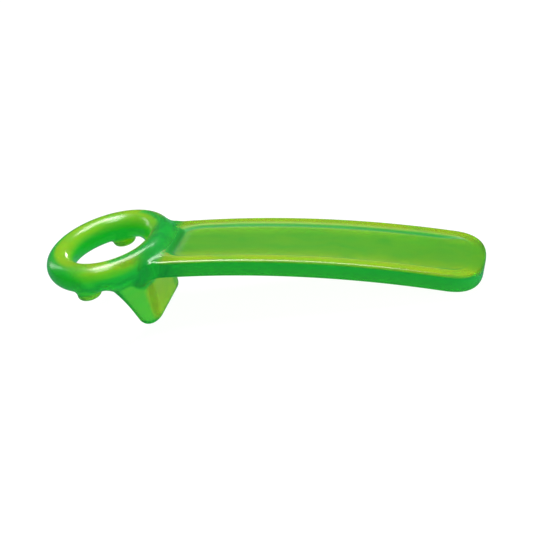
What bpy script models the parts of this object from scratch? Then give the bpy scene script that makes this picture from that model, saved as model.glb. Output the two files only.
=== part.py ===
"""Jar lid opener: a finger ring with two pegs, a bent handle with a thumb pocket, and a lifting claw.

Metres, +Z up. The opener lies on its claw and on the end of its handle, on the plane z = 0, with the
ring towards -X and the handle towards +X. The origin is at the middle of its footprint.
"""

from math import cos, pi, radians, sin

import bmesh
import bpy
from mathutils import Matrix

# Ring
OVERALL_LENGTH = 0.160
RING_CENTRE_RADIUS = 0.0199
RING_TUBE_RADIUS = 0.0052
RING_BELOW_HANDLE_TOP = 0.00135

# Handle, measured along its bent top face from the crown of the bend
BEND_BEHIND_RING_AXIS = 0.0052
HANDLE_BEND_ANGLE = radians(17.75)
HANDLE_THICKNESS = 0.0066
HANDLE_WIDTH_AT_NECK = 0.0310
HANDLE_WIDTH_AT_END = 0.0310
HANDLE_EDGE_RADIUS = 0.0010
HANDLE_END_ROUNDING = 0.0130

# Thumb pocket in the handle's top face
POCKET_FROM_BEND = 0.0210
POCKET_RIM_WIDTH = 0.0048
POCKET_DEPTH = 0.0010
POCKET_CORNER_RADIUS = 0.0040

# Pegs that press on the lid
PEG_DIAMETER = 0.0090
PEG_DROP = 0.0025
PEG_AHEAD_OF_RING_AXIS = 0.0040
PEG_EDGE_RADIUS = 0.0018

# Claw that hooks under the lid
CLAW_WALL = 0.0045
CLAW_BACK_BEHIND_RING_AXIS = 0.0163
CLAW_WIDTH_AT_LIP = 0.0350
CLAW_LIP_FRONT_BEHIND_RING_AXIS = 0.0106
CLAW_ROOT_FRONT_BEHIND_RING_AXIS = 0.0041
CLAW_CORNER_RADIUS = 0.0048
CLAW_LIP_RADIUS = 0.0008
CLAW_BRACE_REACH = 0.0120
CLAW_BRACE_HEIGHT = 0.0085

# Clearance kept between neighbouring solids
SEAT_GAP = 0.0003

# Shape of curves: how far a curve's handles reach along a rounded corner or a full, blunt end
CORNER_PULL = 0.55
BLUNT_END_PULL = 0.62

# Mesh fineness
RING_STEPS = 60
TUBE_STEPS = 16
PEG_STEPS = 28
HANDLE_SLICE = 0.006
CLAW_LEVELS = 12
CLAW_CORNER_STEPS = 6
BRACE_STEPS = 8
SEAM_MERGE = 1e-6
FLAT_ANGLE = radians(0.1)

# Places that follow from the sizes above
RING_OUTER_RADIUS = RING_CENTRE_RADIUS + RING_TUBE_RADIUS
RING_X = RING_OUTER_RADIUS - OVERALL_LENGTH / 2
BEND_X = RING_X + BEND_BEHIND_RING_AXIS
BEND_RADIUS = (OVERALL_LENGTH / 2 - BEND_X) / sin(HANDLE_BEND_ANGLE) + HANDLE_EDGE_RADIUS
HANDLE_ARC_LENGTH = BEND_RADIUS * HANDLE_BEND_ANGLE
END_EDGE_ANGLE = (HANDLE_ARC_LENGTH - HANDLE_EDGE_RADIUS) / BEND_RADIUS
UNDERSIDE_EDGE_RADIUS = BEND_RADIUS - HANDLE_THICKNESS + HANDLE_EDGE_RADIUS
HANDLE_TOP_Z = BEND_RADIUS + HANDLE_EDGE_RADIUS - UNDERSIDE_EDGE_RADIUS * cos(END_EDGE_ANGLE)
RING_Z = HANDLE_TOP_Z - RING_BELOW_HANDLE_TOP
CLAW_ROOT_Z = RING_Z - RING_TUBE_RADIUS / 2
CLAW_ROOT_RADIUS = RING_CENTRE_RADIUS + RING_TUBE_RADIUS / 2

# How each solid is finished: base colour, roughness
CLEAR_GREEN = ((0.09, 0.47, 0.035), 0.16)
SATIN_GREEN = ((0.13, 0.46, 0.035), 0.32)


def clear_scene():
    for old in list(bpy.data.objects):
        bpy.data.objects.remove(old)


def new_collection(name):
    collection = bpy.data.collections.new(name)
    bpy.context.scene.collection.children.link(collection)
    return collection


def finish_material(name, finish):
    colour, roughness = finish
    material = bpy.data.materials.new(name)
    material.use_nodes = True
    shader = material.node_tree.nodes["Principled BSDF"]
    shader.inputs["Base Color"].default_value = (*colour, 1.0)
    shader.inputs["Roughness"].default_value = roughness
    shader.inputs["Metallic"].default_value = 0.0
    shader.inputs["Transmission Weight"].default_value = 0.6
    return material


def add_object(name, mesh, collection):
    piece = bpy.data.objects.new(name, mesh)
    collection.objects.link(piece)
    return piece


def add_cutter(name, mesh, collection):
    cutter = add_object(name, mesh, collection)
    cutter.hide_render = True
    cutter.display_type = "WIRE"
    return cutter


def add_boolean(piece, cutter, operation="DIFFERENCE", faces_cross=False):
    modifier = piece.modifiers.new(f"{operation.lower()} {cutter.name}", "BOOLEAN")
    modifier.operation = operation
    modifier.object = cutter
    modifier.solver = "EXACT"
    modifier.use_self = faces_cross


def mesh_from(bm, name):
    mesh = bpy.data.meshes.new(name)
    bm.to_mesh(mesh)
    bm.free()
    return mesh


def applied_mesh(piece):
    """The mesh of an object with its curve settings and modifiers worked in, closed at its seams."""
    bpy.context.view_layer.update()
    evaluated = piece.evaluated_get(bpy.context.evaluated_depsgraph_get())
    mesh = bpy.data.meshes.new_from_object(evaluated)
    bm = bmesh.new()
    bm.from_mesh(mesh)
    bmesh.ops.remove_doubles(bm, verts=bm.verts, dist=SEAM_MERGE)
    bmesh.ops.recalc_face_normals(bm, faces=bm.faces)
    bm.to_mesh(mesh)
    bm.free()
    return mesh


def torus_mesh(name, tube_radius):
    """The ring's own torus, or a fatter one that leaves a gap round it."""
    bpy.ops.mesh.primitive_torus_add(
        major_radius=RING_CENTRE_RADIUS,
        minor_radius=tube_radius,
        major_segments=RING_STEPS,
        minor_segments=TUBE_STEPS,
        location=(0.0, 0.0, 0.0),
    )
    torus = bpy.context.object
    mesh = torus.data
    bpy.data.objects.remove(torus)
    mesh.name = name
    mesh.transform(Matrix.Translation((RING_X, 0.0, RING_Z)))
    return mesh


def cylinder_mesh(name, radius, bottom, top, steps, centre):
    bm = bmesh.new()
    bmesh.ops.create_cone(
        bm, cap_ends=True, segments=steps, radius1=radius, radius2=radius, depth=top - bottom
    )
    mesh = mesh_from(bm, name)
    mesh.transform(Matrix.Translation((centre[0], centre[1], (bottom + top) / 2)))
    return mesh


def bend_mesh(mesh):
    """Turns flat handle coordinates (along, across, above the top face) into the bent handle's place."""
    for vertex in mesh.vertices:
        along, across, above = vertex.co
        angle = along / BEND_RADIUS
        reach = BEND_RADIUS + above
        vertex.co = (
            BEND_X + reach * sin(angle),
            across,
            HANDLE_TOP_Z - BEND_RADIUS + reach * cos(angle),
        )


def slice_across(mesh, end):
    """Cuts a flat mesh into strips across its length, so that it can follow the bend."""
    bm = bmesh.new()
    bm.from_mesh(mesh)
    place = HANDLE_SLICE
    while place < end:
        geometry = list(bm.verts) + list(bm.edges) + list(bm.faces)
        bmesh.ops.bisect_plane(
            bm, geom=geometry, dist=SEAM_MERGE, plane_co=(place, 0.0, 0.0), plane_no=(1.0, 0.0, 0.0)
        )
        place += HANDLE_SLICE
    bm.to_mesh(mesh)
    bm.free()


def tongue_curve(name, start, end, half_start, half_end, end_rounding, start_rounding):
    """A long flat outline with a full, rounded end and a square or slightly rounded start."""
    curve = bpy.data.curves.new(name, "CURVE")
    curve.dimensions = "2D"
    curve.fill_mode = "BOTH"
    curve.resolution_u = 6
    near_end = end - end_rounding
    end_pull = end_rounding * BLUNT_END_PULL
    across_pull = half_end * BLUNT_END_PULL
    corner_pull = start_rounding * CORNER_PULL
    side = [
        ((start, -half_start + start_rounding), (0.0, corner_pull), (0.0, -corner_pull)),
        ((start + start_rounding, -half_start), (-corner_pull, 0.0), (corner_pull, 0.0)),
        ((near_end, -half_end), (-end_pull, 0.0), (end_pull, 0.0)),
        ((end, 0.0), (0.0, -across_pull), (0.0, across_pull)),
    ]
    far_side = [
        ((x, -y), (out_x, -out_y), (in_x, -in_y))
        for (x, y), (in_x, in_y), (out_x, out_y) in reversed(side[:-1])
    ]
    outline = side + far_side
    spline = curve.splines.new("BEZIER")
    spline.bezier_points.add(len(outline) - 1)
    spline.use_cyclic_u = True
    for point, (place, pull_in, pull_out) in zip(spline.bezier_points, outline):
        point.co = (*place, 0.0)
        point.handle_left_type = "FREE"
        point.handle_right_type = "FREE"
        point.handle_left = (place[0] + pull_in[0], place[1] + pull_in[1], 0.0)
        point.handle_right = (place[0] + pull_out[0], place[1] + pull_out[1], 0.0)
    return curve


def merge_flat_faces(mesh):
    """Joins faces that lie in one plane, so that flat fills and straight sides have no spare points."""
    bm = bmesh.new()
    bm.from_mesh(mesh)
    bmesh.ops.dissolve_limit(bm, angle_limit=FLAT_ANGLE, verts=bm.verts, edges=bm.edges)
    bm.to_mesh(mesh)
    bm.free()


def solid_from_curve(curve, height, collection):
    """The closed mesh of a filled 2D curve, raised to a height."""
    outline = add_object(curve.name, curve, collection)
    mesh = applied_mesh(outline)
    bpy.data.objects.remove(outline)
    merge_flat_faces(mesh)
    mesh.transform(Matrix.Translation((0.0, 0.0, height)))
    return mesh


def make_ring(parts):
    return add_object("ring", torus_mesh("ring", RING_TUBE_RADIUS), parts)


def handle_half_width(along):
    share = along / HANDLE_ARC_LENGTH
    return (HANDLE_WIDTH_AT_NECK + (HANDLE_WIDTH_AT_END - HANDLE_WIDTH_AT_NECK) * share) / 2


def make_handle(parts, cutters, ring_hole, ring_clearance):
    edge = HANDLE_EDGE_RADIUS
    body = tongue_curve(
        "handle_outline",
        0.0,
        HANDLE_ARC_LENGTH,
        handle_half_width(0.0),
        handle_half_width(HANDLE_ARC_LENGTH),
        HANDLE_END_ROUNDING,
        edge,
    )
    body.extrude = HANDLE_THICKNESS / 2 - edge
    body.bevel_depth = edge
    body.bevel_resolution = 2
    body.offset = -edge
    blank = add_object("handle_blank", solid_from_curve(body, -HANDLE_THICKNESS / 2, parts), parts)

    inset = POCKET_RIM_WIDTH + POCKET_DEPTH
    pocket = tongue_curve(
        "pocket_outline",
        POCKET_FROM_BEND + POCKET_DEPTH,
        HANDLE_ARC_LENGTH - inset,
        handle_half_width(POCKET_FROM_BEND) - inset,
        handle_half_width(HANDLE_ARC_LENGTH) - inset,
        HANDLE_END_ROUNDING,
        POCKET_CORNER_RADIUS,
    )
    # The cutter's sloped sides run on as far above the top face as the pocket goes below it
    pocket.extrude = HANDLE_THICKNESS
    pocket.bevel_depth = 2 * POCKET_DEPTH
    pocket.bevel_resolution = 0
    pocket_mesh = solid_from_curve(pocket, HANDLE_THICKNESS + POCKET_DEPTH, cutters)
    pocket_cutter = add_cutter("pocket_cutter", pocket_mesh, cutters)
    add_boolean(blank, pocket_cutter)

    mesh = applied_mesh(blank)
    bpy.data.objects.remove(blank)
    slice_across(mesh, HANDLE_ARC_LENGTH)
    bend_mesh(mesh)
    mesh.name = "handle"
    handle = add_object("handle", mesh, parts)
    add_boolean(handle, ring_hole)
    add_boolean(handle, ring_clearance)
    return handle


def make_pegs(parts, ring_clearance):
    side = (RING_CENTRE_RADIUS**2 - PEG_AHEAD_OF_RING_AXIS**2) ** 0.5
    bottom = RING_Z - RING_TUBE_RADIUS - PEG_DROP
    pegs = []
    for name, across in (("left_peg", -side), ("right_peg", side)):
        centre = (RING_X - PEG_AHEAD_OF_RING_AXIS, across)
        mesh = cylinder_mesh(name, PEG_DIAMETER / 2, bottom, RING_Z, PEG_STEPS, centre)
        peg = add_object(name, mesh, parts)
        rounding = peg.modifiers.new("rounded foot", "BEVEL")
        rounding.limit_method = "ANGLE"
        rounding.angle_limit = radians(60)
        rounding.width = PEG_EDGE_RADIUS
        rounding.segments = 4
        add_boolean(peg, ring_clearance)
        pegs.append(peg)
    return pegs


def claw_outline(rise):
    """Half of the claw's outer outline at a share of its height, from its front edge to its middle."""
    flare = rise**3
    half_width = CLAW_WIDTH_AT_LIP / 2 + (CLAW_ROOT_RADIUS - CLAW_WIDTH_AT_LIP / 2) * flare
    back = CLAW_BACK_BEHIND_RING_AXIS + (CLAW_ROOT_RADIUS - CLAW_BACK_BEHIND_RING_AXIS) * flare
    lip_front = CLAW_LIP_FRONT_BEHIND_RING_AXIS
    front = lip_front + (CLAW_ROOT_FRONT_BEHIND_RING_AXIS - lip_front) * rise
    root_corner = CLAW_ROOT_RADIUS - 2 * SEAT_GAP
    corner = CLAW_CORNER_RADIUS + (root_corner - CLAW_CORNER_RADIUS) * flare
    corner = min(corner, back - front - SEAT_GAP)
    outline = [(front, -half_width)]
    for step in range(CLAW_CORNER_STEPS + 1):
        turn = pi / 2 * step / CLAW_CORNER_STEPS
        outline.append((back - corner + corner * sin(turn), -half_width + corner - corner * cos(turn)))
    flat = half_width - corner
    outline += [(back, -flat / 2), (back, 0.0)]
    return outline


def claw_shell():
    """The claw's outer face on one side, lofted from its straight lip up to the round of the ring."""
    bm = bmesh.new()
    rows = []
    for level in range(CLAW_LEVELS + 1):
        rise = level / CLAW_LEVELS
        outline = claw_outline(rise)
        rows.append([bm.verts.new((RING_X + x, y, rise * CLAW_ROOT_Z)) for x, y in outline])
    for lower, upper in zip(rows, rows[1:]):
        for place in range(len(lower) - 1):
            bm.faces.new((lower[place], lower[place + 1], upper[place + 1], upper[place]))
    return mesh_from(bm, "claw_shell")


def brace_curve():
    """Side outline of the fillet that carries the claw's back face into the underside of the handle."""
    foot_z = HANDLE_TOP_Z - HANDLE_THICKNESS - CLAW_BRACE_HEIGHT
    root_z = HANDLE_TOP_Z - HANDLE_THICKNESS / 2
    back = RING_X + CLAW_BACK_BEHIND_RING_AXIS
    inside = back - CLAW_WALL / 2
    outline = [(inside, foot_z)]
    for step in range(BRACE_STEPS + 1):
        turn = pi / 2 * step / BRACE_STEPS
        outline.append((back + CLAW_BRACE_REACH * (1 - cos(turn)), foot_z + CLAW_BRACE_HEIGHT * sin(turn)))
    outline += [(back + CLAW_BRACE_REACH, root_z), (back + CLAW_WALL / 2, root_z)]
    curve = bpy.data.curves.new("brace_outline", "CURVE")
    curve.dimensions = "2D"
    curve.fill_mode = "BOTH"
    curve.extrude = HANDLE_WIDTH_AT_NECK / 2 - HANDLE_EDGE_RADIUS
    spline = curve.splines.new("POLY")
    spline.points.add(len(outline) - 1)
    spline.use_cyclic_u = True
    for point, (x, z) in zip(spline.points, outline):
        point.co = (x, z, 0.0, 1.0)
    return curve


def handle_clearance(cutters):
    """A block that fills the handle's place and the space over it, with the seat gap round it."""
    start = -BEND_BEHIND_RING_AXIS
    end = RING_OUTER_RADIUS + CLAW_BACK_BEHIND_RING_AXIS + CLAW_BRACE_REACH
    bottom = -HANDLE_THICKNESS - SEAT_GAP
    top = RING_TUBE_RADIUS * 2
    bm = bmesh.new()
    bmesh.ops.create_cube(bm, size=1.0)
    mesh = mesh_from(bm, "handle_clearance")
    for vertex in mesh.vertices:
        along, across, above = vertex.co
        vertex.co = (
            start + (along + 0.5) * (end - start),
            across * (HANDLE_WIDTH_AT_NECK + 2 * SEAT_GAP),
            bottom + (above + 0.5) * (top - bottom),
        )
    slice_across(mesh, end)
    bend_mesh(mesh)
    return add_cutter("handle_clearance", mesh, cutters)


def keep_largest_body(mesh):
    """Drops the slivers that a cut can leave beside the main body."""
    bm = bmesh.new()
    bm.from_mesh(mesh)
    waiting = set(bm.verts)
    bodies = []
    while waiting:
        front = [waiting.pop()]
        body = set(front)
        while front:
            vertex = front.pop()
            for edge in vertex.link_edges:
                other = edge.other_vert(vertex)
                if other in waiting:
                    waiting.discard(other)
                    body.add(other)
                    front.append(other)
        bodies.append(body)
    bodies.sort(key=len)
    for body in bodies[:-1]:
        bmesh.ops.delete(bm, geom=list(body), context="VERTS")
    bm.to_mesh(mesh)
    bm.free()


def make_claw(parts, cutters, ring_clearance):
    scoop = add_object("claw_scoop", claw_shell(), parts)
    mirror = scoop.modifiers.new("other side", "MIRROR")
    mirror.use_axis = (False, True, False)
    mirror.merge_threshold = SEAM_MERGE
    wall = scoop.modifiers.new("wall", "SOLIDIFY")
    wall.thickness = CLAW_WALL
    wall.offset = -1.0
    wall.use_even_offset = True
    rounding = scoop.modifiers.new("rounded rim", "BEVEL")
    rounding.limit_method = "ANGLE"
    rounding.angle_limit = radians(50)
    rounding.width = CLAW_LIP_RADIUS
    rounding.segments = 3

    brace_mesh = solid_from_curve(brace_curve(), 0.0, cutters)
    for vertex in brace_mesh.vertices:
        along, height, across = vertex.co
        vertex.co = (along, -across, height)
    brace = add_cutter("claw_brace", brace_mesh, cutters)
    # On a small ring the inner faces of the scoop's wall cross each other near its root
    add_boolean(scoop, brace, "UNION", faces_cross=True)
    add_boolean(scoop, handle_clearance(cutters))
    add_boolean(scoop, ring_clearance)

    mesh = applied_mesh(scoop)
    bpy.data.objects.remove(scoop)
    keep_largest_body(mesh)
    mesh.name = "claw"
    return add_object("claw", mesh, parts)


def main():
    clear_scene()
    parts = new_collection("jar_lid_opener")
    cutters = new_collection("cutters")
    ring_clearance = add_cutter(
        "ring_clearance", torus_mesh("ring_clearance", RING_TUBE_RADIUS + SEAT_GAP), cutters
    )
    ring_hole = add_cutter(
        "ring_hole",
        cylinder_mesh(
            "ring_hole",
            RING_CENTRE_RADIUS,
            RING_Z - 3 * RING_TUBE_RADIUS,
            RING_Z + 3 * RING_TUBE_RADIUS,
            RING_STEPS,
            (RING_X, 0.0),
        ),
        cutters,
    )
    pieces = [(make_ring(parts), CLEAR_GREEN)]
    pieces.append((make_handle(parts, cutters, ring_hole, ring_clearance), SATIN_GREEN))
    pieces.append((make_claw(parts, cutters, ring_clearance), CLEAR_GREEN))
    pieces += [(peg, CLEAR_GREEN) for peg in make_pegs(parts, ring_clearance)]
    for piece, finish in pieces:
        piece.data.materials.clear()
        piece.data.materials.append(finish_material(f"{piece.name}_plastic", finish))
        piece.data.shade_smooth()
        piece.data.set_sharp_from_angle(angle=radians(40))


main()
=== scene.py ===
"""A one-hand jar lid opener in translucent green plastic: a finger ring, a claw below it that hooks under a
lid's rim, two pegs that press on the lid, and a bent handle with a thumb pocket.

The opener is one moulding, so it is one piece here. Each member is a function that tells how far a point
lies from the member's surface, below nought inside it. Fillets join the members, and a net of quads is laid
where the distance is nought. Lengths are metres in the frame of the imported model. A pair of values is the
start and the end of a change.
"""
import itertools
import math

import bpy
import numpy as np
from mathutils import Matrix, Vector


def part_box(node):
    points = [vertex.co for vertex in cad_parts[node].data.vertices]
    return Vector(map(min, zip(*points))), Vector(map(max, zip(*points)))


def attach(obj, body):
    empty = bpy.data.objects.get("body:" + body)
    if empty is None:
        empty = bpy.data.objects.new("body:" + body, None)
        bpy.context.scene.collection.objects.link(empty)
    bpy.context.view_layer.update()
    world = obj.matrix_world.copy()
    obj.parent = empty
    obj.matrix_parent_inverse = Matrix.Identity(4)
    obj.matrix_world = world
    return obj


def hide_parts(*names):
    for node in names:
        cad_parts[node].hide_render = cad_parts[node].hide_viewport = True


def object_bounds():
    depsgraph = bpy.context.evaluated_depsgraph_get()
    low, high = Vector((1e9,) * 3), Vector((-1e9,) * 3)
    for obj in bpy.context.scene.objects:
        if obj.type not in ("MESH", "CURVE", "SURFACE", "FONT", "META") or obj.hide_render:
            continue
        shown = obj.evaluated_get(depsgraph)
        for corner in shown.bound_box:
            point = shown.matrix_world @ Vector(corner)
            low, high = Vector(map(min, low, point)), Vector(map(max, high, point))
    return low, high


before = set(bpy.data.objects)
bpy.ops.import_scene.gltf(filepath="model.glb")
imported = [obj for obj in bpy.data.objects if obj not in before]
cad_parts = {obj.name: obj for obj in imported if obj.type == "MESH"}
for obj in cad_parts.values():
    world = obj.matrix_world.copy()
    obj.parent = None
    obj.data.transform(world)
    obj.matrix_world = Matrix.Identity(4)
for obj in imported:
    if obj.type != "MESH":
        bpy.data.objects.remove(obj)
cad_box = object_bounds()

# Ring: as packed, but drawn in by a share of its radius where it meets the neck
RING_LOW, RING_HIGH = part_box("ring")
RING_X = (RING_LOW.x + RING_HIGH.x) / 2
RING_Z = (RING_LOW.z + RING_HIGH.z) / 2
RING_TUBE_RADIUS = (RING_HIGH.z - RING_LOW.z) / 2
RING_RADIUS = (RING_HIGH.y - RING_LOW.y) / 2 - RING_TUBE_RADIUS
RING_DRAWN_IN = 0.05

# Pegs, as packed
PEG_LOW, PEG_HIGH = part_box("right_peg")
PEG_X = (PEG_LOW.x + PEG_HIGH.x) / 2
PEG_Y = (PEG_LOW.y + PEG_HIGH.y) / 2
PEG_RADIUS = (PEG_HIGH.x - PEG_LOW.x) / 2
PEG_FOOT_Z = PEG_LOW.z
PEG_EDGE_RADIUS = 0.0018

# Handle: a tongue bent along an arc, whose end rests on the table
HANDLE_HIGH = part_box("handle")[1]
HANDLE_TIP_X = HANDLE_HIGH.x
NECK_START_X = RING_X + 0.008
HANDLE_FULLER_SIDE = 0.0003
HANDLE_HALF_WIDTH = HANDLE_HIGH.y + HANDLE_FULLER_SIDE
HANDLE_THICKNESS = 0.0066
HANDLE_BEND_ANGLE = math.radians(17.75)
HANDLE_BEND_X = RING_X + 0.0052
HANDLE_TOP_EDGE_RADIUS = 0.0012
HANDLE_LOW_EDGE_RADIUS = 0.0012
HANDLE_END_LENGTH = 0.0130
HANDLE_END_FULLNESS = 2.6
HANDLE_BEND_RADIUS = (HANDLE_TIP_X - HANDLE_BEND_X) / math.sin(HANDLE_BEND_ANGLE) + HANDLE_TOP_EDGE_RADIUS
HANDLE_LENGTH = HANDLE_BEND_RADIUS * HANDLE_BEND_ANGLE
HANDLE_END_ANGLE = (HANDLE_LENGTH - HANDLE_LOW_EDGE_RADIUS) / HANDLE_BEND_RADIUS
HANDLE_TOP_Z = HANDLE_BEND_RADIUS + HANDLE_LOW_EDGE_RADIUS - math.cos(HANDLE_END_ANGLE) * (
    HANDLE_BEND_RADIUS - HANDLE_THICKNESS + HANDLE_LOW_EDGE_RADIUS)

# Thumb pocket sunk into the handle's top
POCKET_START = 0.0190
POCKET_START_RUN = 0.0026
POCKET_RIM = 0.0044
POCKET_WALL_RUN = 0.0010
POCKET_WALL_FULLNESS = 1.35
POCKET_CREST = 0.0002
POCKET_DEPTH = 0.0010
POCKET_END = 0.1285
POCKET_END_RUN = 0.0150
POCKET_CORNER = 0.0040

# Claw: a scoop that is open to the front, wider at its root than at its lip
CLAW_WALL = 0.0045
CLAW_ROOT_Z = RING_Z - RING_TUBE_RADIUS / 2
CLAW_LIP_HALF_WIDTH = 0.0178
CLAW_ROOT_HALF_WIDTH = RING_RADIUS + RING_TUBE_RADIUS
CLAW_LIP_BACK_X = RING_X + 0.0163
CLAW_ROOT_BACK_X = RING_X + 0.0178
CLAW_LIP_FRONT_X = RING_X + 0.0106
CLAW_ROOT_FRONT_X = RING_X + 0.0041
CLAW_LIP_CORNER = 0.0084
CLAW_ROOT_CORNER = 0.0220
CLAW_FRONT_CORNER = 0.0037
CLAW_EDGE_RADIUS = 0.0022
CLAW_FLARE_POWER = 3
CLAW_FLARE_LIMIT = 1.15

# Fillets between the members
RING_TO_HANDLE_FILLET = 0.00165
NECK_FILLET = 0.0050
PEG_FILLET = 0.0010
CLAW_FILLET = 0.0023
BRACE_FILLET = 0.0060
BRACE_START_X = RING_X + 0.010
BRACE_FULL_X = RING_X + 0.016
NECK_WIDTH_SHARE = 1.2

# Net, and the steps and limits of its sums
NET_STEP = 0.00035
NET_MARGIN_STEPS = 3
CELL_CORNERS = list(itertools.product((0, 1), repeat=3))
SETTLING_ROUNDS = 3
LEAST_STEEPNESS = 0.05
LEAST_OUTLINE_SLOPE = 1e-3
NEARLY_NOUGHT = 1e-9
FEELER = 0.00002

# Painted light and shade on the plastic, from 0 for shaded deep green to 1 for lit yellow-green, alike on
# both sides
TOP_FACING_SLOPE = 0.9
THICKNESS_STEP = 0.0008
THICKNESS_STEPS = 32
THICK_PLASTIC = (0.010, 0.018)
THICK_LOSS = 0.9
SIDE_TINT = 0.01
LOW_SIDE_TINT = 0.10
LOW_SIDE_Z = (RING_Z - 0.8 * RING_TUBE_RADIUS, RING_Z - 1.2 * RING_TUBE_RADIUS)
RING_FRONT_SLOPE = (-0.05, 0.30)
RING_FRONT_LOSS = 0.95
NECK_FROM_RING = (0.014, 0.019)
NECK_LOSS = 0.9
NECK_BLEND = 0.002
CLAW_BACK_SLOPE = (0.72, 0.98)
CLAW_BACK_Z = (0.019, 0.014)
PEG_TINT = 0.5
PEG_INNER_TINT = 0.7
PEG_INNER_TURN = 0.5
PEG_REACH = (PEG_RADIUS + 0.0015, PEG_RADIUS - 0.0005)
PEG_INNER_Z = (RING_Z - 0.6 * RING_TUBE_RADIUS, RING_Z - RING_TUBE_RADIUS)
HANDLE_LOW_GAIN = 0.10
RIM_LOSS = 0.10
POCKET_MIDDLE_TINT = 0.26
POCKET_SIDE_TINT = 0.58
POCKET_SIDE = (0.25, 0.72)
POCKET_FADE = (0.116, 0.128)
POCKET_FADE_ASIDE = (0.0125, 0.0085)
POCKET_TINT_RUN = 0.010
POCKET_WALL_TINT_FULL = 0.5 * POCKET_WALL_RUN
POCKET_WALL_TINT_END = 1.5 * POCKET_WALL_RUN

# Plastic
# The plastic's green in painted shade, deep, and in painted light, yellow-green: polished, then satin
SHADED_GREEN = (0.02, 0.80, 0.20, 1.0)
LIT_GREEN = (0.94, 0.92, 0.06, 1.0)
SHADED_SATIN_GREEN = (0.02, 0.52, 0.08, 1.0)
LIT_SATIN_GREEN = (0.86, 0.84, 0.04, 1.0)
INNER_GREEN = (0.89, 0.986, 0.2, 1.0)
INNER_DENSITY = 500.0
PLASTIC_IOR = 1.49
PLASTIC_CLEARNESS = 0.80
FLOW_PER_METRE = (35.0, 160.0, 420.0)
FLOW_DETAIL = 4.0
FLOW_DISTORTION = 0.6
FLOW_RANGE = (0.3, 0.7)
SWIRL_RANGE = (0.7, 1.3)
GRAIN_PER_METRE = 3800.0
GRAIN_DETAIL = 2.0
GRAIN_STRENGTH = 0.35
GRAIN_HEIGHT = 0.00006
POLISHED_ROUGHNESS = (0.20, 0.27)
SATIN_ROUGHNESS = (0.26, 0.40)
POCKET_WALL_ROUGHNESS = 0.60

# Floor and room, whose light depends on the kind of ray that meets them
FLOOR_RADIUS = 6.0
FLOOR_SIDES = 64
PAPER_COLOUR = (0.12, 0.12, 0.12, 1.0)
PAPER_ROUGHNESS = 0.9
PAPER_TO_CAMERA = (0.96, 0.96, 0.96, 1.0)
PAPER_TO_OTHER_RAYS = (0.04, 0.22, 0.20, 1.0)
PAPER_THROUGH_PLASTIC = (0.95, 0.62, 0.54, 1.0)
SHADOW_THROUGH_PLASTIC = (0.02, 0.45, 0.48, 1.0)
ROOM_COLOUR = (1.0, 1.0, 1.0, 1.0)
ROOM_GLOW = 0.06
ROOM_GLOW_THROUGH_PLASTIC = 0.65

# Green shadow painted on the floor behind the opener, seen only through the plastic
SHADOW_FLOW = (0.25, 1.0, 0.0)
SHADOW_START = 0.018
SHADOW_FULL = 0.044

# Camera, fitted to the photograph's outline: angles in degrees, lens in millimetres on a 36 mm frame
CAMERA_AZIMUTH = 20.85
CAMERA_ELEVATION = 27.73
CAMERA_ROLL = -15.88
CAMERA_TARGET = Vector((0.00243, -0.00116, 0.01188))
CAMERA_DISTANCE = 0.4307
CAMERA_LENS = 80.82


def fillet_join(a, b, radius):
    """Distance to two shapes joined by a hollow fillet of that radius."""
    toward_a = np.maximum(radius - a, 0.0)
    toward_b = np.maximum(radius - b, 0.0)
    return np.maximum(radius, np.minimum(a, b)) - np.hypot(toward_a, toward_b)


def rounded_overlap(a, b, radius):
    """Distance to what two shapes share, with the edge between them rounded to that radius."""
    return -fillet_join(-a, -b, radius)


def ease(share):
    """A smooth step from 0 to 1."""
    share = np.clip(share, 0.0, 1.0)
    return share * share * (3 - 2 * share)


def between(start, end, share):
    """The value that lies at a share of the way from start to end."""
    return start + (end - start) * share


def step_between(value, start, end):
    """A smooth step from 0 where the value is start to 1 where it is end."""
    return ease((value - start) / (end - start))


def ring_distance(x, y, z):
    """The round finger ring, drawn in a little where it meets the neck."""
    toward_neck = np.clip((x - RING_X) / RING_RADIUS, 0.0, 1.0)
    radius = RING_RADIUS * (1 - RING_DRAWN_IN * toward_neck**2)
    return np.hypot(np.hypot(x - RING_X, y) - radius, z - RING_Z) - RING_TUBE_RADIUS


def handle_place(x, y, z):
    """A point's place on the bent handle: along its arc, above its top face, and out past its outline."""
    bend_z = HANDLE_TOP_Z - HANDLE_BEND_RADIUS
    above = np.hypot(x - HANDLE_BEND_X, z - bend_z) - HANDLE_BEND_RADIUS
    along = HANDLE_BEND_RADIUS * np.arctan2(x - HANDLE_BEND_X, z - bend_z)
    past = np.maximum(along - (HANDLE_LENGTH - HANDLE_END_LENGTH), 0.0) / HANDLE_END_LENGTH
    aside = np.abs(y) / HANDLE_HALF_WIDTH
    power = HANDLE_END_FULLNESS
    total = np.maximum(past**power + aside**power, NEARLY_NOUGHT)
    steepness = total ** (1 / power - 1) * np.hypot(
        past ** (power - 1) / HANDLE_END_LENGTH, aside ** (power - 1) / HANDLE_HALF_WIDTH)
    edge = (total ** (1 / power) - 1) / np.maximum(steepness, LEAST_OUTLINE_SLOPE / HANDLE_HALF_WIDTH)
    return along, above, edge


def pocket_inset(along, edge):
    """How far in from the edge of the thumb pocket a place on the handle lies, below nought outside it. The
    long slope at the pocket's start counts as no wider than its wall."""
    start = (POCKET_START - along) * POCKET_WALL_RUN / POCKET_START_RUN
    return -rounded_overlap(edge + POCKET_RIM, start, POCKET_CORNER)


def pocket_run_out(along):
    """1 along the thumb pocket, falling to 0 where it runs out near the handle's end."""
    return ease((POCKET_END - along) / POCKET_END_RUN)


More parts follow.
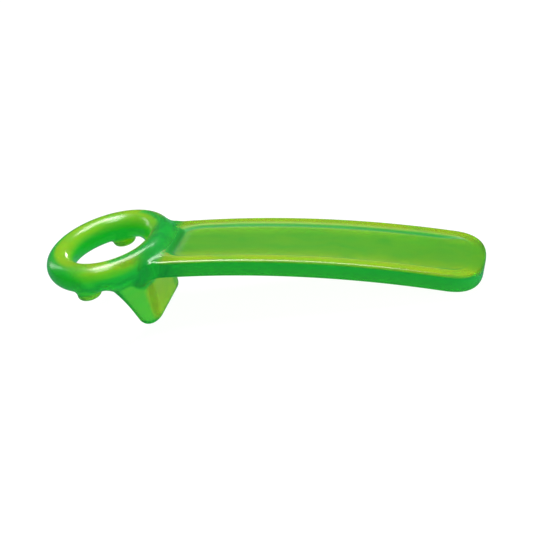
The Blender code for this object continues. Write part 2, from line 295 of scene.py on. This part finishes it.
def pocket_share(along, edge):
    """1 on the floor of the thumb pocket, 0 on its rim and past its end, and between them on its hollow wall
    and where it runs out."""
    inset = pocket_inset(along, edge)
    inset = (inset + np.hypot(inset, POCKET_CREST)) / 2
    depth = 1 - np.clip(1 - inset / POCKET_WALL_RUN, 0.0, 1.0) ** POCKET_WALL_FULLNESS
    return depth * pocket_run_out(along)


def top_share(above):
    """1 on the handle's top face and down to the thumb pocket's floor, 0 from twice that depth on and above
    the handle."""
    return np.where(above < POCKET_DEPTH, ease(2 + above / POCKET_DEPTH), 0.0)


def floor_share(along, above, edge, y):
    """1 on the thumb pocket's floor, which runs out to the handle's end, and 0 on the rim."""
    fade = step_between(along, *POCKET_FADE) * step_between(np.abs(y), *POCKET_FADE_ASIDE)
    return top_share(above) * np.maximum(step_between(pocket_inset(along, edge), 0.0, POCKET_WALL_RUN), fade)


def wall_share(inset):
    """1 on the thumb pocket's wall and half its width to either side, 0 from one more width on."""
    from_middle = np.abs(inset / POCKET_WALL_RUN - 0.5)
    return ease(2 - from_middle)


def handle_distance(x, y, z):
    """The bent handle with its thumb pocket, from the ring's centre line to its rounded end."""
    along, above, edge = handle_place(x, y, z)
    top = above + POCKET_DEPTH * pocket_share(along, edge)
    upper = rounded_overlap(edge, top, HANDLE_TOP_EDGE_RADIUS)
    lower = rounded_overlap(edge, -HANDLE_THICKNESS - above, HANDLE_LOW_EDGE_RADIUS)
    tongue = np.maximum(upper, lower)
    clear_of_hole = RING_RADIUS - np.hypot(x - RING_X, y)
    return np.maximum(tongue, np.maximum(clear_of_hole, NECK_START_X - x))


def claw_distance(x, y, z):
    """The claw's curved wall, from its rounded lip on the table up to the ring."""
    rise = np.clip(z / CLAW_ROOT_Z, 0.0, CLAW_FLARE_LIMIT)
    flare = rise**CLAW_FLARE_POWER
    half_width = between(CLAW_LIP_HALF_WIDTH, CLAW_ROOT_HALF_WIDTH, flare)
    back = between(CLAW_LIP_BACK_X, CLAW_ROOT_BACK_X, flare)
    corner = between(CLAW_LIP_CORNER, CLAW_ROOT_CORNER, flare)
    outside = rounded_overlap(x - back, np.abs(y) - half_width, corner)
    lean = (CLAW_ROOT_FRONT_X - CLAW_LIP_FRONT_X) / CLAW_ROOT_Z
    spread = CLAW_FLARE_POWER * rise ** (CLAW_FLARE_POWER - 1) * (
        CLAW_ROOT_HALF_WIDTH - CLAW_LIP_HALF_WIDTH) / CLAW_ROOT_Z
    outside = outside / np.sqrt(1 + spread**2)
    wall = np.abs(outside + CLAW_WALL / 2) - CLAW_WALL / 2
    front = (CLAW_LIP_FRONT_X + lean * z - x) / math.hypot(1, lean)
    outline = rounded_overlap(front, -z, CLAW_FRONT_CORNER)
    scoop = rounded_overlap(wall, outline, CLAW_EDGE_RADIUS)
    return np.maximum(scoop, z - CLAW_ROOT_Z)


def peg_distance(x, y, z):
    """The two pegs under the ring, whose flat feet have rounded edges."""
    side = np.hypot(x - PEG_X, np.abs(y) - PEG_Y) - PEG_RADIUS
    peg = rounded_overlap(side, PEG_FOOT_Z - z, PEG_EDGE_RADIUS)
    return np.maximum(peg, z - RING_Z)


def moulding_distance(x, y, z):
    """The whole moulding: handle and claw, joined to the ring, with the pegs below it."""
    brace = between(CLAW_FILLET, BRACE_FILLET, step_between(x, BRACE_START_X, BRACE_FULL_X))
    body = fillet_join(handle_distance(x, y, z), claw_distance(x, y, z), brace)
    on_neck = ease((x - RING_X) / RING_RADIUS) * ease(NECK_WIDTH_SHARE - np.abs(y) / HANDLE_HALF_WIDTH)
    on_neck = on_neck * ease((z - RING_Z) / RING_TUBE_RADIUS + 1)
    neck = between(RING_TO_HANDLE_FILLET, NECK_FILLET, on_neck)
    body = fillet_join(body, ring_distance(x, y, z), neck)
    return fillet_join(body, peg_distance(x, y, z), PEG_FILLET)


def crossed_cells(inside):
    """The grid cells that the surface crosses, which have some corners inside it and some outside."""
    cells = [count - 1 for count in inside.shape]
    filled = np.zeros(cells, np.int8)
    for i, j, k in CELL_CORNERS:
        filled += inside[i:i + cells[0], j:j + cells[1], k:k + cells[2]]
    return np.argwhere((filled > 0) & (filled < len(CELL_CORNERS)))


def crossing_middles(distance, crossed):
    """The middle of the surface's cuts through each cell's edges, in steps from the cell's first corner."""
    total = np.zeros((len(crossed), 3))
    hits = np.zeros(len(crossed))
    for start, axis in itertools.product(CELL_CORNERS, range(3)):
        if start[axis]:
            continue
        along = np.eye(3, dtype=int)[axis]
        a = distance[tuple((crossed + start).T)]
        b = distance[tuple((crossed + start + along).T)]
        hit = (a < 0) != (b < 0)
        total[hit] += start + along * (a[hit] / (a[hit] - b[hit]))[:, None]
        hits += hit
    return total / hits[:, None]


def net_quads(inside, crossed):
    """An outward quad for each grid edge that the surface cuts, on the points of the four cells round it."""
    cells = [count - 1 for count in inside.shape]
    number = np.full(cells, -1)
    number[tuple(crossed.T)] = np.arange(len(crossed))
    quads = []
    for axis in range(3):
        first = np.take(inside, range(cells[axis]), axis)
        second = np.take(inside, range(1, cells[axis] + 1), axis)
        edges = np.argwhere(first != second)
        side, rise = np.eye(3, dtype=int)[[(axis + 1) % 3, (axis + 2) % 3]]
        around = [edges - side - rise, edges - rise, edges, edges - side]
        quad = np.stack([number[tuple(cell.T)] for cell in around], 1)
        leaving = first[tuple(edges.T)]
        quads.append(np.where(leaving[:, None], quad, quad[:, ::-1]))
    return np.concatenate(quads)


def lay_net(step):
    """Points and quads of a net on the surface, with one point in each grid cell that it crosses."""
    low, high = cad_box
    before = NET_MARGIN_STEPS * step
    after = (NET_MARGIN_STEPS + 1) * step
    axes = [np.arange(low[i] - before, high[i] + after, step) for i in range(3)]
    distance = moulding_distance(*np.meshgrid(*axes, indexing="ij", sparse=True))
    inside = distance < 0
    crossed = crossed_cells(inside)
    points = (crossed + crossing_middles(distance, crossed)) * step + [axis[0] for axis in axes]
    return points, net_quads(inside, crossed)


def slope_at(points):
    """The gradient of the distance at each point."""
    slopes = []
    for axis in np.eye(3) * FEELER:
        ahead = moulding_distance(*(points + axis).T)
        behind = moulding_distance(*(points - axis).T)
        slopes.append((ahead - behind) / (2 * FEELER))
    return np.stack(slopes, 1)


def settle(points):
    """Moves the net's points onto the surface."""
    for _ in range(SETTLING_ROUNDS):
        slope = slope_at(points)
        steepness = np.maximum((slope**2).sum(1), LEAST_STEEPNESS)
        shift = np.clip(moulding_distance(*points.T) / steepness, -NET_STEP, NET_STEP)
        points = points - slope * shift[:, None]
    return points


def thickness_at(points, normals):
    """How much plastic lies straight below the surface at each point, up to a limit."""
    inside = np.ones(len(points), bool)
    thickness = np.zeros(len(points))
    for depth in np.arange(1, THICKNESS_STEPS + 1) * THICKNESS_STEP:
        inside &= moulding_distance(*(points - normals * depth).T) < 0
        thickness += inside * THICKNESS_STEP
    return thickness


def facing_up(normals):
    """1 where the surface faces up, 0 where it faces sideways or down."""
    return step_between(normals[:, 2], 0.0, TOP_FACING_SLOPE)


def light_and_shade_by_facing(points, normals):
    """Painted light and shade by facing and thickness: lit yellow on top, shaded deep green on the sides and
    where the plastic is thick.
    """
    up = facing_up(normals)
    thick = step_between(thickness_at(points, normals), *THICK_PLASTIC)
    side = between(SIDE_TINT, LOW_SIDE_TINT, step_between(points[:, 2], *LOW_SIDE_Z))
    return up * (1 - THICK_LOSS * thick) + side * (1 - up) * (1 - thick)


def shade_ring_front_and_neck(glow, points, normals):
    """Painted shade: the colour made deeper green on the ring's front and on the neck."""
    x, y = points[:, 0], points[:, 1]
    front = step_between(-normals[:, 0], *RING_FRONT_SLOPE) * (np.hypot(x - RING_X, y) > RING_RADIUS)
    neck_end = POCKET_START + HANDLE_BEND_X
    neck = step_between(x - RING_X, *NECK_FROM_RING)
    neck = neck * step_between(x, neck_end + NECK_BLEND, neck_end - NECK_BLEND)
    return glow * (1 - RING_FRONT_LOSS * front) * (1 - NECK_LOSS * neck)


def claw_back_painted_light(points, normals):
    """Painted light that makes the claw's back yellow."""
    x, z = points[:, 0], points[:, 2]
    ring_half = x < 0
    return step_between(normals[:, 0], *CLAW_BACK_SLOPE) * step_between(z, *CLAW_BACK_Z) * ring_half


def peg_painted_light(points, normals):
    """Painted light and shade on the pegs, lit yellower where they face each other."""
    x, y, z = points.T
    inner = ease(-normals[:, 1] * np.sign(y) + PEG_INNER_TURN)
    outer_tint = PEG_TINT * step_between(z, *LOW_SIDE_Z)
    glow = outer_tint * (1 - inner) + PEG_INNER_TINT * step_between(z, *PEG_INNER_Z) * inner
    return glow * step_between(np.hypot(x - PEG_X, np.abs(y) - PEG_Y), *PEG_REACH)


def paint_light_and_shade_on_handle(glow, points, normals):
    """The painted light and shade with the handle's own: lit yellower low on its sides, shaded deeper on its
    rim and deepest on the thumb pocket's wall, and on the pocket's floor lit yellower toward the sides than
    in the middle."""
    x, y, z = points.T
    along, above, edge = handle_place(x, y, z)
    past_start = step_between(along, POCKET_START, POCKET_START + POCKET_TINT_RUN)
    low = ease(-above / HANDLE_THICKNESS)
    glow = glow + HANDLE_LOW_GAIN * (1 - facing_up(normals)) * low * past_start
    on_top = top_share(above)
    glow = glow * (1 - RIM_LOSS * on_top * past_start)
    aside = step_between(np.abs(y) / HANDLE_HALF_WIDTH, *POCKET_SIDE)
    floor_tint = between(POCKET_MIDDLE_TINT, POCKET_SIDE_TINT, aside)
    glow = between(glow, floor_tint, floor_share(along, above, edge, y))
    inset = pocket_inset(along, edge)
    wall = step_between(inset, 0.0, POCKET_WALL_TINT_FULL)
    wall = wall * step_between(inset, POCKET_WALL_TINT_END, POCKET_WALL_RUN)
    before_end = step_between(along, POCKET_END, POCKET_END - POCKET_TINT_RUN)
    return glow * (1 - on_top * wall * before_end)


def painted_light_at(points, normals):
    """How far the painted light and shade at each point goes from shaded deep green, 0, to lit yellow-green,
    1.
    """
    glow = shade_ring_front_and_neck(light_and_shade_by_facing(points, normals), points, normals)
    glow = np.maximum(glow, np.maximum(claw_back_painted_light(points, normals), peg_painted_light(points, normals)))
    return paint_light_and_shade_on_handle(glow, points, normals)


def mark_points(mesh, name, values):
    """Stores one number at each point of a mesh, for the material to read."""
    mesh.attributes.new(name, "FLOAT", "POINT").data.foreach_set("value", values)


def make_moulding(material):
    """The whole opener as one smooth closed mesh."""
    points, quads = lay_net(NET_STEP)
    points = settle(points)
    mesh = bpy.data.meshes.new("opener_moulding")
    mesh.from_pydata(points.tolist(), [], quads.tolist())
    mesh.polygons.foreach_set("use_smooth", np.ones(len(quads), bool))
    normals = slope_at(points)
    normals /= np.linalg.norm(normals, axis=1, keepdims=True)
    mesh.normals_split_custom_set_from_vertices(normals)
    along, above, edge = handle_place(*points.T)
    on_top = top_share(above)
    inset = pocket_inset(along, edge)
    mark_points(mesh, "pocket_satin", floor_share(along, above, edge, points[:, 1]))
    mark_points(mesh, "pocket_wall", wall_share(inset) * on_top * pocket_run_out(along))
    # Painted light and shade, stored for the material to colour the plastic by
    mark_points(mesh, "glow", painted_light_at(points, normals))
    mesh.materials.append(material)
    moulding = bpy.data.objects.new("opener_moulding", mesh)
    bpy.context.collection.objects.link(moulding)
    return moulding


def add_node(tree, kind, inputs=None, **settings):
    """A shader node with its settings, and its inputs set to values or linked to other nodes' outputs."""
    node = tree.nodes.new(kind)
    for name, value in settings.items():
        setattr(node, name, value)
    for socket, value in (inputs or {}).items():
        if isinstance(value, bpy.types.NodeSocket):
            tree.links.new(value, node.inputs[socket])
        else:
            node.inputs[socket].default_value = value
    return node


def mix_values(tree, share, first, second):
    """The output of a node that goes from one number to another by a share."""
    return add_node(tree, "ShaderNodeMix", {"Factor": share, "A": first, "B": second}).outputs[0]


def mix_colours(tree, share, first, second):
    """The output of a node that goes from one colour to another by a share."""
    inputs = {"Factor": share, "A": first, "B": second}
    return add_node(tree, "ShaderNodeMix", inputs, data_type="RGBA").outputs[2]


def map_range(tree, value, to, start=0.0, end=1.0, **settings):
    """The output of a node that carries a value from start and end over to another pair of values."""
    inputs = {"Value": value, "From Min": start, "From Max": end, "To Min": to[0], "To Max": to[1]}
    return add_node(tree, "ShaderNodeMapRange", inputs, **settings).outputs["Result"]


def new_material(name):
    """An empty node material and its tree."""
    material = bpy.data.materials.new(name)
    material.use_nodes = True
    material.node_tree.nodes.clear()
    return material, material.node_tree


def green_plastic():
    """Clear green plastic, deeper green the longer the way through it, coloured by painted light and shade.
    It is polished but for the fine satin of the pocket's floor and its matt wall."""
    material, tree = new_material("translucent_green_plastic")
    place = add_node(tree, "ShaderNodeTexCoord").outputs["Object"]
    satin = add_node(tree, "ShaderNodeAttribute", attribute_name="pocket_satin").outputs["Fac"]
    wall = add_node(tree, "ShaderNodeAttribute", attribute_name="pocket_wall").outputs["Fac"]
    glow = add_node(tree, "ShaderNodeAttribute", attribute_name="glow").outputs["Fac"]

    flow_place = add_node(tree, "ShaderNodeMapping", {"Vector": place, "Scale": FLOW_PER_METRE})
    flow = add_node(tree, "ShaderNodeTexNoise", {
        "Vector": flow_place.outputs["Vector"], "Scale": 1.0, "Detail": FLOW_DETAIL,
        "Distortion": FLOW_DISTORTION}).outputs["Fac"]
    swirl = map_range(tree, flow, SWIRL_RANGE, *FLOW_RANGE)
    # The painted light and shade, streaked by the swirl, picks the colour between the shaded and the lit
    # green
    streaked = add_node(tree, "ShaderNodeMath", {0: glow, 1: swirl}, operation="MULTIPLY", use_clamp=True)
    painted_light_and_swirl = streaked.outputs["Value"]
    polished_light_and_shade = mix_colours(tree, painted_light_and_swirl, SHADED_GREEN, LIT_GREEN)
    satin_light_and_shade = mix_colours(tree, painted_light_and_swirl, SHADED_SATIN_GREEN, LIT_SATIN_GREEN)
    tint = mix_colours(tree, satin, polished_light_and_shade, satin_light_and_shade)

    grain = add_node(tree, "ShaderNodeTexNoise", {
        "Vector": place, "Scale": GRAIN_PER_METRE, "Detail": GRAIN_DETAIL}).outputs["Fac"]
    polish = map_range(tree, flow, POLISHED_ROUGHNESS)
    matt = map_range(tree, grain, SATIN_ROUGHNESS)
    roughness = mix_values(tree, wall, mix_values(tree, satin, polish, matt), POCKET_WALL_ROUGHNESS)
    grain_height = add_node(tree, "ShaderNodeMath", {0: grain, 1: satin}, operation="MULTIPLY")
    bump = add_node(tree, "ShaderNodeBump", {
        "Height": grain_height.outputs["Value"], "Strength": GRAIN_STRENGTH, "Distance": GRAIN_HEIGHT})

    plastic = add_node(tree, "ShaderNodeBsdfPrincipled", {
        "Base Color": tint, "Roughness": roughness, "Normal": bump.outputs["Normal"],
        "IOR": PLASTIC_IOR, "Transmission Weight": PLASTIC_CLEARNESS})
    inside = add_node(tree, "ShaderNodeVolumeAbsorption", {"Color": INNER_GREEN, "Density": INNER_DENSITY})
    add_node(tree, "ShaderNodeOutputMaterial",
             {"Surface": plastic.outputs["BSDF"], "Volume": inside.outputs["Volume"]})
    return material


def floor_paper():
    """Studio paper that glows by itself: plain white to the camera, tinted and with a painted green shadow
    to rays through the plastic, and dark green to all other rays."""
    material, tree = new_material("white_studio_paper")
    way = add_node(tree, "ShaderNodeLightPath")
    place = add_node(tree, "ShaderNodeNewGeometry").outputs["Position"]
    along_flow = add_node(tree, "ShaderNodeVectorMath", {0: place, 1: SHADOW_FLOW}, operation="DOT_PRODUCT")
    shadow = map_range(tree, along_flow.outputs["Value"], (0.0, 1.0), SHADOW_START, SHADOW_FULL,
                       interpolation_type="SMOOTHSTEP")
    seen_through = mix_colours(tree, shadow, PAPER_THROUGH_PLASTIC, SHADOW_THROUGH_PLASTIC)
    bounced = mix_colours(tree, way.outputs["Is Transmission Ray"], PAPER_TO_OTHER_RAYS, seen_through)
    glow = mix_colours(tree, way.outputs["Is Camera Ray"], bounced, PAPER_TO_CAMERA)
    paper = add_node(tree, "ShaderNodeBsdfPrincipled", {
        "Base Color": PAPER_COLOUR, "Roughness": PAPER_ROUGHNESS, "Specular IOR Level": 0.0,
        "Emission Color": glow, "Emission Strength": 1.0})
    add_node(tree, "ShaderNodeOutputMaterial", {"Surface": paper.outputs["BSDF"]})
    return material


def lay_floor():
    """A wide round floor under the opener."""
    mesh = bpy.data.meshes.new("floor")
    turns = np.linspace(0, 2 * math.pi, FLOOR_SIDES, endpoint=False)
    rim = [(FLOOR_RADIUS * math.cos(turn), FLOOR_RADIUS * math.sin(turn), 0.0) for turn in turns]
    mesh.from_pydata(rim, [], [list(range(FLOOR_SIDES))])
    mesh.materials.append(floor_paper())
    floor = bpy.data.objects.new("floor", mesh)
    bpy.context.collection.objects.link(floor)


def hang_lamp(name, place, aim, width, height, watts):
    """A soft rectangular lamp that looks at a point and shows neither directly nor through the plastic."""
    lamp = bpy.data.lights.new(name, "AREA")
    lamp.shape = "RECTANGLE"
    lamp.size = width
    lamp.size_y = height
    lamp.energy = watts
    holder = bpy.data.objects.new(name, lamp)
    holder.visible_transmission = False
    holder.visible_camera = False
    holder.location = place
    holder.rotation_euler = (Vector(aim) - Vector(place)).to_track_quat("-Z", "Y").to_euler()
    bpy.context.collection.objects.link(holder)
    return holder


def light_studio():
    """A dim white room, brighter through the plastic, and soft lamps all round."""
    world = bpy.data.worlds.new("studio")
    world.use_nodes = True
    tree = world.node_tree
    through = add_node(tree, "ShaderNodeLightPath").outputs["Is Transmission Ray"]
    background = tree.nodes["Background"]
    background.inputs["Color"].default_value = ROOM_COLOUR
    strength = mix_values(tree, through, ROOM_GLOW, ROOM_GLOW_THROUGH_PLASTIC)
    tree.links.new(strength, background.inputs["Strength"])
    bpy.context.scene.world = world
    bpy.context.scene.view_settings.view_transform = "Standard"

    hang_lamp("overhead_softbox", place=(-0.08, 0.2, 0.7), aim=(-0.02, 0.0, 0.02),
              width=0.52, height=0.35, watts=5.8)
    # Seen only in reflections, for the line of light along the handle's near edge
    front = hang_lamp("overhead_front", place=(-0.2, -0.06, 0.7), aim=(-0.02, 0.0, 0.02),
                      width=0.5, height=0.22, watts=3.2)
    front.visible_diffuse = False
    hang_lamp("left_window", place=(-0.64, 0.27, 0.28), aim=(-0.06, 0.0, 0.02),
              width=0.12, height=0.40, watts=0.45)
    # A narrow beam, for the small highlight on the ring's left end
    card = hang_lamp("low_back_card", place=(-0.085, 0.14, 0.044), aim=(-0.082, -0.008, 0.029),
                     width=0.03, height=0.02, watts=0.0006)
    card.data.spread = math.radians(15)
    # Light without a reflection, for the claw's back and the handle's side
    fill = hang_lamp("front_right_fill", place=(0.45, -0.25, 0.15), aim=(-0.04, 0.0, 0.01),
                     width=0.3, height=0.2, watts=1.7)
    fill.visible_glossy = False


def aim_camera():
    """The camera at the photograph's angle, rolled as the photograph is."""
    azimuth, elevation, roll = (math.radians(a) for a in (CAMERA_AZIMUTH, CAMERA_ELEVATION, CAMERA_ROLL))
    back = Vector((math.sin(azimuth) * math.cos(elevation), -math.cos(azimuth) * math.cos(elevation),
                   math.sin(elevation)))
    level = Vector((0, 0, 1)).cross(back).normalized()
    upright = back.cross(level)
    right = math.cos(roll) * level + math.sin(roll) * upright
    up = math.cos(roll) * upright - math.sin(roll) * level
    camera = bpy.data.cameras.new("photo_camera")
    camera.lens = CAMERA_LENS
    holder = bpy.data.objects.new("photo_camera", camera)
    holder.matrix_world = Matrix.Translation(CAMERA_TARGET + back * CAMERA_DISTANCE) @ Matrix(
        (right, up, back)).transposed().to_4x4()
    bpy.context.collection.objects.link(holder)
    bpy.context.scene.camera = holder


moulding = make_moulding(green_plastic())
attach(moulding, "root")
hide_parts("ring", "handle", "claw", "left_peg", "right_peg")
lay_floor()
light_studio()
aim_camera()
